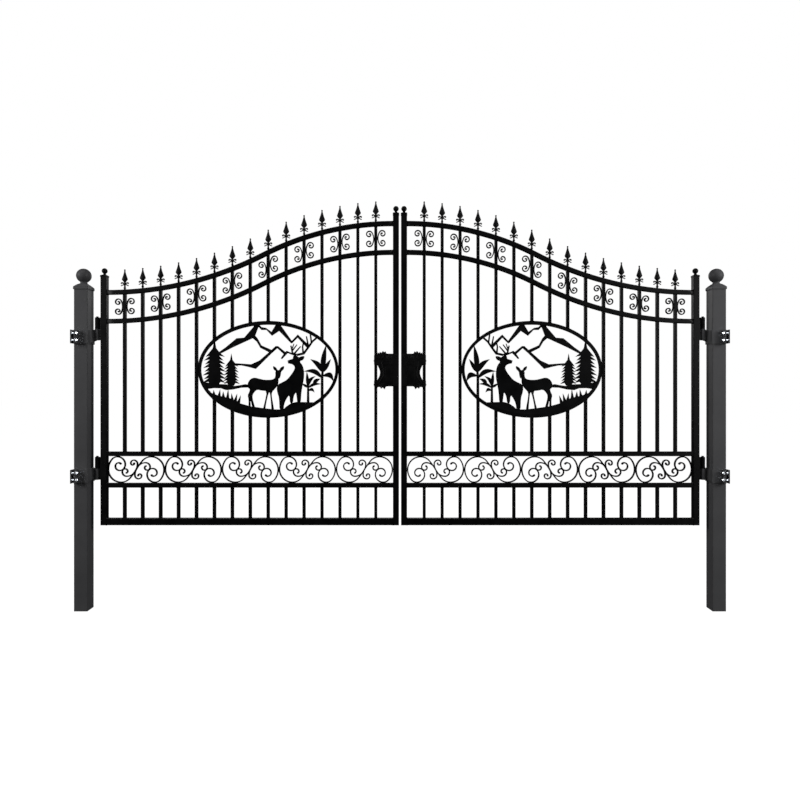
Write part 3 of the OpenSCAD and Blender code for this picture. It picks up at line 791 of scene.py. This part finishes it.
@dataclass
class Bolt:
    """A domed bolt along X with a machine thread and a hex nut.

    Attributes:
        shank: Diameter of the shank.
        head: Height of the domed head.
        nut: Height of the nut.
        thread_pitch: Distance between two threads.
        thread_depth: Depth of a thread.
    """

    shank: float
    head: float
    nut: float
    thread_pitch: float
    thread_depth: float

    def build(self, forge: Forge, side: Side, low: Vector, high: Vector) -> None:
        """Adds one bolt, with its head on the side away from the gate's centre.

        Args:
            forge: The piece to add to.
            side: The half that it belongs to.
            low: The lowest corner of its CAD solid.
            high: The highest corner of its CAD solid.
        """
        middle = (low + high) / 2
        length = high.x - low.x
        outer = low.x if side is Side.LEFT else high.x

        def at(distance: float) -> Vector:
            """The point on the bolt's axis at a distance from the top of its head."""
            return Vector((outer + side.inward * distance, middle.y, middle.z))

        radius, head_r = self.shank / 2, (high.z - low.z) / 2
        tuck = 0.02 * MM
        dome = [
            (self.head * (1 - math.cos(math.radians(a))) + tuck, head_r * math.sin(math.radians(a)))
            for a in (12, 30, 48, 66, 80, 90)
        ]
        rings = [circle(at(d), Y, Z, r, 32) for d, r in dome]
        rings.append(circle(at(self.head), Y, Z, head_r, 32))
        forge.skin(rings)
        start, end = self.head, length
        count = round((end - start - self.shank / 4) / (self.thread_pitch / 2))
        thread = []
        for i in range(count + 1):
            depth = self.thread_depth if i % 2 else 0.0
            thread.append(circle(at(start + i * self.thread_pitch / 2), Y, Z, radius - depth, 24))
        thread.append(circle(at(end), Y, Z, radius - 2.5 * self.thread_depth, 24))
        forge.skin(thread)
        nut_end = length - self.shank / 2
        self.hex_nut(forge, at, nut_end - self.nut, nut_end)

    def hex_nut(self, forge: Forge, at: Callable[[float], Vector], start: float, end: float) -> None:
        """Adds a chamfered hex nut.

        Args:
            forge: The piece to add to.
            at: Gives the point on the bolt's axis at a distance from its head.
            start: Distance of the nut's first face.
            end: Distance of its last face.
        """
        half_flat, whole_flat = math.radians(30), math.radians(60)
        corner_r = 1.75 * self.shank / 2
        flat_r = corner_r * math.cos(half_flat)
        face_r, chamfer = flat_r * 0.96, 0.14 * self.nut
        ends = ((start, face_r), (start + chamfer, corner_r), (end - chamfer, corner_r), (end, face_r))
        rings: list[list[Vector]] = []
        for distance, limit in ends:
            ring = []
            for i in range(36):
                turn = math.radians(i * 10)
                to_flat = flat_r / math.cos((turn + half_flat) % whole_flat - half_flat)
                reach = min(limit, to_flat)
                ring.append(at(distance) + Vector((0, reach * math.cos(turn), reach * math.sin(turn))))
            rings.append(ring)
        forge.skin(rings)


@dataclass
class Clamps:
    """The hinge brackets, their closing plates and the bolts that hold them.

    Attributes:
        edge: Radius of the plates' edges.
        clamp_bolt: The bolts through the flanges.
        glint_watts: Power of the lamp that lights the bolts.
        glint_size: Width and height of that lamp.
        glint_reach: How far in front of the gate it hangs.
        glint_rise: How far above the gate it hangs.
    """

    edge: float = 0.8 * MM
    clamp_bolt: Bolt = field(
        default_factory=lambda: Bolt(
            shank=12 * MM, head=5 * MM, nut=10 * MM, thread_pitch=1.75 * MM, thread_depth=0.7 * MM
        )
    )
    glint_watts: float = 900.0
    glint_size: float = 4.0
    glint_reach: float = 3.0
    glint_rise: float = 0.6

    def build(self) -> None:
        """Builds the clamps of both posts."""
        for side in Side:
            for part in ("hinge_brackets", "clamp_plates"):
                node = side.node(part)
                plate = rounded_bars(f"{node}_eased", node, Run.EVERY, self.edge, steps=2)
                # The plates wear the lighter copy of the coat, whose colour is painted light.
                dress(plate, CLAMP_COAT_PAINTED_LIGHT, "posts", node)
            bolts = side.node("clamp_bolts")
            forge = Forge()
            for points in solids(bolts):
                self.clamp_bolt.build(forge, side, low_of(points), high_of(points))
            piece = dress(forge.finish(f"{bolts}_set"), ZINC, "posts", bolts)
            self.glint(piece, side)

    def glint(self, piece: bpy.types.Object, side: Side) -> None:
        """Lights the bright bolts alone, with the white walls that the black coats don't mirror.

        Args:
            piece: The bolts.
            side: The half that they belong to.
        """
        lit = bpy.data.collections.new(f"{piece.name}_lit")
        lit.objects.link(piece)
        low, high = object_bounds()
        place = (low[0] if side is Side.LEFT else high[0], -self.glint_reach, high[2] + self.glint_rise)
        target = (place[0], 0.0, (low[2] + high[2]) / 2)
        size = (self.glint_size, self.glint_size)
        lamp = soft_box(f"{piece.name}_box", place, target, size, self.glint_watts)
        lamp.light_linking.receiver_collection = lit


@dataclass
class Finial:
    """A cast spear on a moulded shank, with two pairs of curled arms.

    Heights and radii are millimetres above the rail that the casting stands on.

    Attributes:
        height: From the rail to the top of the tip ball.
        spear_foot: Height where the spear grows out of the knot.
        tip_ball: Radius of the ball on the tip.
        sides: The number of points round a section.
        round_power: The power that makes a section an oval.
        ridge_power: The power that pulls it into four soft ridges.
    """

    height: float = 137.0
    spear_foot: float = 49.0
    tip_ball: float = 5.5
    sides: int = 20
    round_power: float = 2.0
    ridge_power: float = 1.25

    def build(self, forge: Forge, low: Vector, high: Vector) -> None:
        """Adds one finial between the corners of its CAD solid.

        Args:
            forge: The piece to add to.
            low: The lowest corner of the solid.
            high: The highest corner of the solid.
        """
        base = Vector(((low.x + high.x) / 2, (low.y + high.y) / 2, high.z - self.height * MM))
        self.core(forge, base, (low.z - base.z) / MM)
        self.spear(forge, base)
        self.arms(forge, base)

    def core(self, forge: Forge, base: Vector, foot: float) -> None:
        """Turns the shank, its collar and the knot under the spear.

        Args:
            forge: The piece to add to.
            base: The point on the rail under the finial.
            foot: Height of the shank's lower end.
        """
        collar = [(7.5, 6.2), (8.5, 8.0), (10, 8.8), (12, 8.8), (13.5, 8.0), (14.5, 6.3)]
        shank = [(20, 5.6), (30, 5.6), (33, 5.8)]
        knot = [(35, 7.0), (37, 8.0), (39, 8.4), (41, 8.0), (43, 7.0), (45, 6.4), (50, 6.5)]
        turned = [(foot, 6.0), *collar, *shank, *knot]
        forge.skin([circle(base + Z * z * MM, X, Y, r * MM, self.sides) for z, r in turned])

    def spear(self, forge: Forge, base: Vector) -> None:
        """Casts the spear, a four-sided blade with soft ridges, and the ball on its tip.

        Args:
            forge: The piece to add to.
            base: The point on the rail under the finial.
        """
        foot = [(self.spear_foot, 6.5, 6.5)]
        shoulder = [(52, 8.0, 7.0), (58, 12.5, 8.5), (64, 17.5, 10.0), (68, 20.2, 11.0), (70, 20.5, 11.0)]
        blade = [(74, 19.4, 10.6), (82, 16.6, 9.6), (92, 13.0, 8.2), (102, 9.8, 6.8)]
        tip = [(112, 7.0, 5.5), (120, 5.0, 4.6)]
        neck = [(125, 4.1, 4.1), (126.5, 3.6, 3.6)]
        oval, ridged = self.round_power, self.ridge_power
        rings: list[list[Vector]] = []
        for row, power in ((foot, oval), (shoulder + blade + tip, ridged), (neck, oval)):
            for z, wide, deep in row:
                ring = []
                for i in range(self.sides):
                    a = 2 * math.pi * i / self.sides
                    c, s = math.cos(a), math.sin(a)
                    reach = (abs(c) ** power + abs(s) ** power) ** (-1 / power)
                    ring.append(base + Vector((c * reach * wide, s * reach * deep, z)) * MM)
                rings.append(ring)
        forge.skin(rings)
        ball = self.tip_ball
        ball_rings = []
        for degrees in range(-75, 90, 15):
            a = math.radians(degrees)
            middle = base + Z * (self.height - ball + ball * math.sin(a)) * MM
            ball_rings.append(circle(middle, X, Y, ball * math.cos(a) * MM, self.sides))
        ball_rings.append(circle(base + Z * self.height * MM, X, Y, 0.4 * MM, self.sides))
        forge.skin(ball_rings)

    def arms(self, forge: Forge, base: Vector) -> None:
        """Bends the two pairs of arms out of the knot.

        Args:
            forge: The piece to add to.
            base: The point on the rail under the finial.
        """
        upper = [(2, 40, 5.0), (9, 43, 4.6), (15, 46.5, 4.2), (20, 47.6, 3.8), (23.6, 45.6, 3.5)]
        upper += [(24.4, 42.4, 3.3), (22.2, 40.2, 3.1), (19.4, 41, 3.0), (18.6, 42, 1.2)]
        lower = [(2, 37, 5.0), (8, 34.5, 4.2), (14, 31.5, 3.6), (19, 28.6, 3.2), (23, 27, 3.2), (25, 28.6, 2.9)]
        lower += [(25.2, 29.8, 1.0)]
        for way in (-1, 1):
            for points in (upper, lower):
                arm = eased(points)
                path = [base + Vector((way * x, 0, z)) * MM for x, z, _ in arm]
                sweep(forge, path, [r * MM for _, _, r in arm], sides=10, flatten=0.8)


# Gives the point on a lock plate's face from its places in millimetres
Placer = Callable[..., Vector]


@dataclass
class LockRelief:
    """The cast ornament on a lock plate's face.

    Places are millimetres: across from the last picket's inner face towards the stile, and up
    from the plate's straight top edge.

    Attributes:
        crown: How far the tallest spike stands over the top edge.
        inset: From the plate's outer edge to the last picket's inner face.
        fan_at: Where the upper fan opens.
        root_at: Where the lower leaves grow.
        rosette_at: The middle of the rosette on the stile.
        depth: Depth of a rounded ornament as a share of its width.
    """

    crown: float = 19.0
    inset: float = 21.0
    fan_at: tuple[float, float] = (25.0, -21.0)
    root_at: tuple[float, float] = (20.0, -196.0)
    rosette_at: tuple[float, float] = (124.0, -17.0)
    depth: float = 0.6

    def build(self, forge: Forge, side: Side, low: Vector, high: Vector) -> None:
        """Adds the ornament of one plate.

        Args:
            forge: The piece to add to.
            side: The half that the plate belongs to.
            low: The lowest corner of the plate's box.
            high: The highest corner of the plate's box.
        """
        outer = low.x if side is Side.LEFT else high.x
        top = high.z - self.crown * MM

        def at(across: float, up: float, out: float = 0.0) -> Vector:
            """The point on the plate's face, or out millimetres in front of it."""
            return Vector((outer + side.inward * (self.inset + across) * MM, low.y - out * MM, top + up * MM))

        for carve in (self.fan, self.rib_panel, self.rim, self.rosette):
            carve(forge, at)

    def petal(self, forge: Forge, start: Vector, tip: Vector, width: float) -> None:
        """Adds one drop-shaped petal.

        Args:
            forge: The piece to add to.
            start: The petal's narrow foot.
            tip: Its point.
            width: Half of its greatest width.
        """
        outline = ((0.0, 0.45), (0.25, 0.75), (0.5, 1.0), (0.75, 0.9), (0.92, 0.55), (1.0, 0.15))
        path = [start.lerp(tip, share) for share, _ in outline]
        sweep(forge, path, [width * swell * MM for _, swell in outline], sides=10, flatten=self.depth)

    def spray(
        self,
        forge: Forge,
        at: Placer,
        root: tuple[float, float],
        gap: float,
        tips: Sequence[tuple[float, float]],
        width: float,
    ) -> None:
        """Adds petals that spread from one point.

        Args:
            forge: The piece to add to.
            at: Gives the point on the plate's face.
            root: The point that they spread from.
            gap: How far from it they start.
            tips: Their tips.
            width: Half of a petal's greatest width.
        """
        for x, z in tips:
            away = Vector((x - root[0], z - root[1])).normalized() * gap
            self.petal(forge, at(root[0] + away.x, root[1] + away.y), at(x, z), width)

    def fan(self, forge: Forge, at: Placer) -> None:
        """Spreads the petals and the volute in the upper corner by the picket.

        Args:
            forge: The piece to add to.
            at: Gives the point on the plate's face.
        """
        tips = [(-15, -34), (-17, -20), (-13, -6), (3, 6), (19, 11), (39, 16), (55, 13), (58, -8)]
        self.spray(forge, at, self.fan_at, 14, tips, 5.0)
        x, z = self.fan_at
        start, growth, steps = 3.0, 1.05, 34
        turns = [i * math.radians(24) for i in range(steps)]
        reaches = [start + t * growth for t in turns]
        path = [at(x + r * math.cos(t), z + r * math.sin(t), 0.4) for t, r in zip(turns, reaches)]
        sweep(forge, path, [(1.4 + 0.05 * i) * MM for i in range(steps)], sides=8, flatten=0.7)

    def rib_panel(self, forge: Forge, at: Placer) -> None:
        """Lays the little leaves, the ribs and the raised field in the middle.

        Args:
            forge: The piece to add to.
            at: Gives the point on the plate's face.
        """
        for i in range(4):
            x = 64 + 10 * i
            self.petal(forge, at(x, -38), at(x + 1, -9), 4.2)
        rib = ((47, 0.6), (52, 2.6), (75, 2.9), (97, 2.6), (100, 0.6))
        for i in range(4):
            z = -50 - 9.5 * i
            sweep(forge, [at(x, z) for x, _ in rib], [r * MM for _, r in rib], sides=8, flatten=self.depth)
        bevel, thick = 3.0, 2.2
        left, right, lower, upper = 52.0, 101.0, -204.0, -86.0
        rings = []
        for inset, out in ((0.0, -0.5), (0.0, thick * 0.4), (bevel * 0.5, thick * 0.85), (bevel, thick)):
            sides = (left + inset, right - inset)
            corners = [(sides[0], lower + inset), (sides[1], lower + inset)]
            corners += [(sides[1], upper - inset), (sides[0], upper - inset)]
            rings.append([at(x, z, out) for x, z in corners])
        forge.skin(rings)

    def rim(self, forge: Forge, at: Placer) -> None:
        """Runs the wavy stem along the hollow, the leaves at its foot and the row of beads.

        Args:
            forge: The piece to add to.
            at: Gives the point on the plate's face.
        """
        stem = [(34, -48, 1.5), (30, -62, 3.5), (31, -80, 4), (35, -100, 4), (40, -140, 4), (36, -158, 4.5)]
        line = eased([*stem, (14, -192, 2)])
        sweep(forge, [at(x, z) for x, z, _ in line], [w * MM for _, _, w in line], sides=8, flatten=self.depth)
        tips = ((-14, -188), (-12, -206), (8, -221), (26, -231), (50, -235), (40, -206))
        self.spray(forge, at, self.root_at, 6, tips, 4.6)
        for i in range(6):
            x = 56 + 8.5 * i
            self.petal(forge, at(x, -207), at(x, -215), 2.6)

    def rosette(self, forge: Forge, at: Placer) -> None:
        """Sets the small rosette and the rivets where the plate crosses the stile.

        Args:
            forge: The piece to add to.
            at: Gives the point on the plate's face.
        """
        x, z = self.rosette_at
        turns = [math.radians(60 * i + 30) for i in range(6)]
        self.spray(forge, at, (x, z), 4, [(x + 14 * math.cos(t), z + 14 * math.sin(t)) for t in turns], 4.0)
        for height in (-60, -110, -160, -204):
            self.petal(forge, at(110, height - 4), at(110, height + 4), 2.2)


# The rails that run from stile to stile
RAILS = ("bottom_rail", "band_lower_rail", "band_upper_rail", "arch_lower_rail", "arch_top_rail")


@dataclass
class Leaf:
    """One leaf of the gate, with everything that swings with it.

    Attributes:
        side: Which half it is.
        stile_corner: Radius of the stiles' corners.
        rail_corner: Radius of the rails' corners.
        picket_corner: Radius of the pickets' corners.
        bar_edge: Radius of the scroll bars' edges.
        plate_edge: Radius of the cut plates' edges.
        bead: Radius of the weld beads.
        hinge_edge: Radius of the hinge lugs' edges.
        lock_bolt: The bolts that hold the lock plate to its picket.
        cap: The cap on each stile.
    """

    side: Side
    stile_corner: float = 3.0 * MM
    rail_corner: float = 2.5 * MM
    picket_corner: float = 2.0 * MM
    bar_edge: float = 1.2 * MM
    plate_edge: float = 0.6 * MM
    bead: float = 2.2 * MM
    hinge_edge: float = 0.8 * MM
    lock_bolt: Bolt = field(
        default_factory=lambda: Bolt(
            shank=8 * MM, head=5 * MM, nut=4 * MM, thread_pitch=1.25 * MM, thread_depth=0.5 * MM
        )
    )
    cap: BallCap = field(
        default_factory=lambda: BallCap(skirt=11 * MM, rise=7 * MM, neck=19 * MM, ball=37 * MM, edge=1.5 * MM)
    )

    def build(self) -> None:
        """Builds and dresses the whole leaf."""
        self.tubes()
        self.caps()
        self.finials()
        self.scrollwork()
        self.lock()
        self.add("leaf_hinges", Run.EVERY, self.hinge_edge, steps=2)
        self.welds()

    def add(self, part: str, run: Run, radius: float, finish: Finish = POWDER_COAT, steps: int = 3) -> None:
        """Rounds one CAD part's edges and dresses the result."""
        node = self.side.node(part)
        dress(rounded_bars(f"{node}_rounded", node, run, radius, steps), finish, self.side.leaf, node)

    def tubes(self) -> None:
        """Builds the stiles, rails and pickets."""
        for part in ("hinge_stile", "meeting_stile"):
            self.add(part, Run.UPRIGHT, self.stile_corner)
        for part in RAILS:
            self.add(part, Run.LEVEL, self.rail_corner)
        self.add("pickets", Run.UPRIGHT, self.picket_corner)

    def caps(self) -> None:
        """Builds the two ball caps of the stiles."""
        node = self.side.node("stile_caps")
        forge = Forge()
        for points in solids(node):
            self.cap.build(forge, low_of(points), high_of(points))
        dress(forge.finish(f"{node}_pressing"), POWDER_COAT, self.side.leaf, node)

    def finials(self) -> None:
        """Casts the row of finials on the arch."""
        node = self.side.node("finials")
        forge = Forge()
        for points in solids(node):
            Finial().build(forge, low_of(points), high_of(points))
        dress(forge.finish(f"{node}_cast", 50.0), CAST_BLACK, self.side.leaf, node)

    def lock(self) -> None:
        """Builds the lock plate with its ornament and its bolts."""
        self.add("lock_plate", Run.CURLED, self.plate_edge, CAST_BLACK, steps=2)
        plate, bolts = self.side.node("lock_plate"), self.side.node("lock_bolts")
        forge = Forge()
        LockRelief().build(forge, self.side, *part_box(plate))
        dress(forge.finish(f"{plate}_relief", 50.0), CAST_BLACK, self.side.leaf)
        forge = Forge()
        for points in solids(bolts):
            self.lock_bolt.build(forge, self.side, low_of(points), high_of(points))
        dress(forge.finish(f"{bolts}_set"), POWDER_COAT, self.side.leaf, bolts)

    def scrollwork(self) -> None:
        """Builds the scrolls and the medallion."""
        self.add("c_scrolls", Run.CURLED, self.bar_edge, steps=2)
        self.add("band_scrolls", Run.CURLED, self.bar_edge, steps=2)
        self.add("medallion", Run.CURLED, self.plate_edge, steps=1)

    def welds(self) -> None:
        """Lays the beads at both ends of every picket and every rail."""
        forge = Forge()
        for points in solids(self.side.node("pickets")):
            for corners in picket_ends(points):
                weld_bead(forge, corners, self.bead)
        dress(forge.finish(self.side.node("picket_welds")), POWDER_COAT, self.side.leaf)
        forge = Forge()
        for part in RAILS:
            for points in solids(self.side.node(part)):
                for corners in rail_ends(points):
                    weld_bead(forge, corners, self.bead)
        dress(forge.finish(self.side.node("rail_welds")), POWDER_COAT, self.side.leaf)


def picket_ends(points: Sequence[Vector]) -> list[list[Vector]]:
    """Finds the seams where a picket meets its rails.

    Args:
        points: The corner points of the picket's solid.

    Returns:
        Four corners in order round the picket, for its lower and for its upper end.
    """
    low, high = low_of(points), high_of(points)
    ends: list[list[Vector]] = []
    for pick in (min, max):
        corners = []
        for x, y in ((low.x, low.y), (high.x, low.y), (high.x, high.y), (low.x, high.y)):
            z = pick(p.z for p in points if abs(p.x - x) < MM and abs(p.y - y) < MM)
            corners.append(Vector((x, y, z)))
        ends.append(corners)
    return ends


def rail_ends(points: Sequence[Vector]) -> list[list[Vector]]:
    """Finds the seams where a rail meets its two stiles.

    Args:
        points: The corner points of the rail's solid.

    Returns:
        Four corners in order round each end of the rail.
    """
    low, high = low_of(points), high_of(points)
    ends: list[list[Vector]] = []
    for x in (low.x, high.x):
        heights = [p.z for p in points if abs(p.x - x) < 0.2 * MM]
        foot, top = min(heights), max(heights)
        corners = ((low.y, foot), (high.y, foot), (high.y, top), (low.y, top))
        ends.append([Vector((x, y, z)) for y, z in corners])
    return ends


# ---- Studio ----


@dataclass
class Studio:
    """A white floor under a white background, with soft boxes, and the camera in front of the gate.

    Attributes:
        lens: Focal length of the camera, for a 36 mm wide sensor.
        distance: Distance of the camera from the gate's middle plane.
        eye: Height of the camera.
        shift: Vertical shift of the frame.
        floor_reach: Half of the floor's width.
        middle: Place of the gate's middle along X, found when the studio is built.
    """

    lens: float = 28.4
    distance: float = 4.225
    eye: float = 1.467
    shift: float = -0.0125
    floor_reach: float = 60.0
    middle: float = field(init=False, default=0.0)

    def build(self) -> None:
        """Builds the floor, the light and the camera."""
        low, high = (Vector(corner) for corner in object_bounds())
        self.middle = (low.x + high.x) / 2
        self.floor(low.z)
        self.world()
        self.lights()
        self.camera()

    def floor(self, level: float) -> None:
        """Lays the pale floor that the posts stand on.

        Args:
            level: The floor's height.
        """
        forge = Forge()
        size = self.floor_reach
        ways = ((-1, -1), (1, -1), (1, 1), (-1, 1))
        forge.points = [Vector((self.middle + x * size, y * size, level)) for x, y in ways]
        forge.faces = [(0, 1, 2, 3)]
        floor = forge.finish("studio_floor")
        material = bpy.data.materials.new("studio_floor")
        material.use_nodes = True
        shader = material.node_tree.nodes["Principled BSDF"]
        shader.inputs["Base Color"].default_value = linear("#8f8f8e")
        shader.inputs["Roughness"].default_value = 0.9
        shader.inputs["Specular IOR Level"].default_value = 0.0
        shader.inputs["Emission Color"].default_value = linear("#ffffff")
        shader.inputs["Emission Strength"].default_value = 1.0
        floor.data.materials.append(material)
        floor.visible_glossy = False
        floor.visible_diffuse = False
        floor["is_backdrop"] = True

    def world(self) -> None:
        """Sets an even white background for the camera, which neither lights the surfaces nor shows in their
        gloss.
        """
        world = bpy.data.worlds.new("studio")
        world.use_nodes = True
        world.node_tree.nodes["Background"].inputs["Color"].default_value = linear("#ffffff")
        world.node_tree.nodes["Background"].inputs["Strength"].default_value = 1.0
        world.cycles_visibility.diffuse = False
        world.cycles_visibility.glossy = False
        bpy.context.scene.world = world
        bpy.context.scene.view_settings.view_transform = "Standard"

    def lights(self) -> None:
        """Hangs the soft boxes."""
        m = self.middle
        soft_box("top_box", (m, -1.6, 5.4), (m, 0.0, 0.0), (7.0, 2.0), 30.0)
        for name, way, watts in (("left_box", -1.0, 135.0), ("right_box", 1.0, 125.0)):
            soft_box(name, (m + way * 6.8, -3.0, 3.4), (m + way * 2.1, 0.0, 1.5), (1.6, 2.4), watts)
        soft_box("sheen_box", (m + 5.0, -4.6, 2.2), (m + 1.2, 0.0, 1.4), (1.6, 2.4), 25.0)
        soft_box("back_box", (m - 1.0, 5.2, 3.4), (m, 0.0, 1.2), (6.0, 2.0), 60.0)

    def camera(self) -> None:
        """Stands the camera level in front of the gate's centre."""
        data = bpy.data.cameras.new("camera")
        data.sensor_width = 36.0
        data.lens = self.lens
        data.shift_y = self.shift
        camera = bpy.data.objects.new("camera", data)
        camera.location = (self.middle, -self.distance, self.eye)
        camera.rotation_euler = (math.radians(90), 0, 0)
        bpy.context.scene.collection.objects.link(camera)
        bpy.context.scene.camera = camera


def main() -> None:
    """Builds the studio, then every sub-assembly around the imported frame."""
    logging.basicConfig(level=logging.INFO, format="%(name)s: %(message)s")
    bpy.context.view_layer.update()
    Studio().build()
    Posts().build()
    Clamps().build()
    for side in Side:
        Leaf(side).build()
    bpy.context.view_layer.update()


if __name__ == "__main__":
    main()
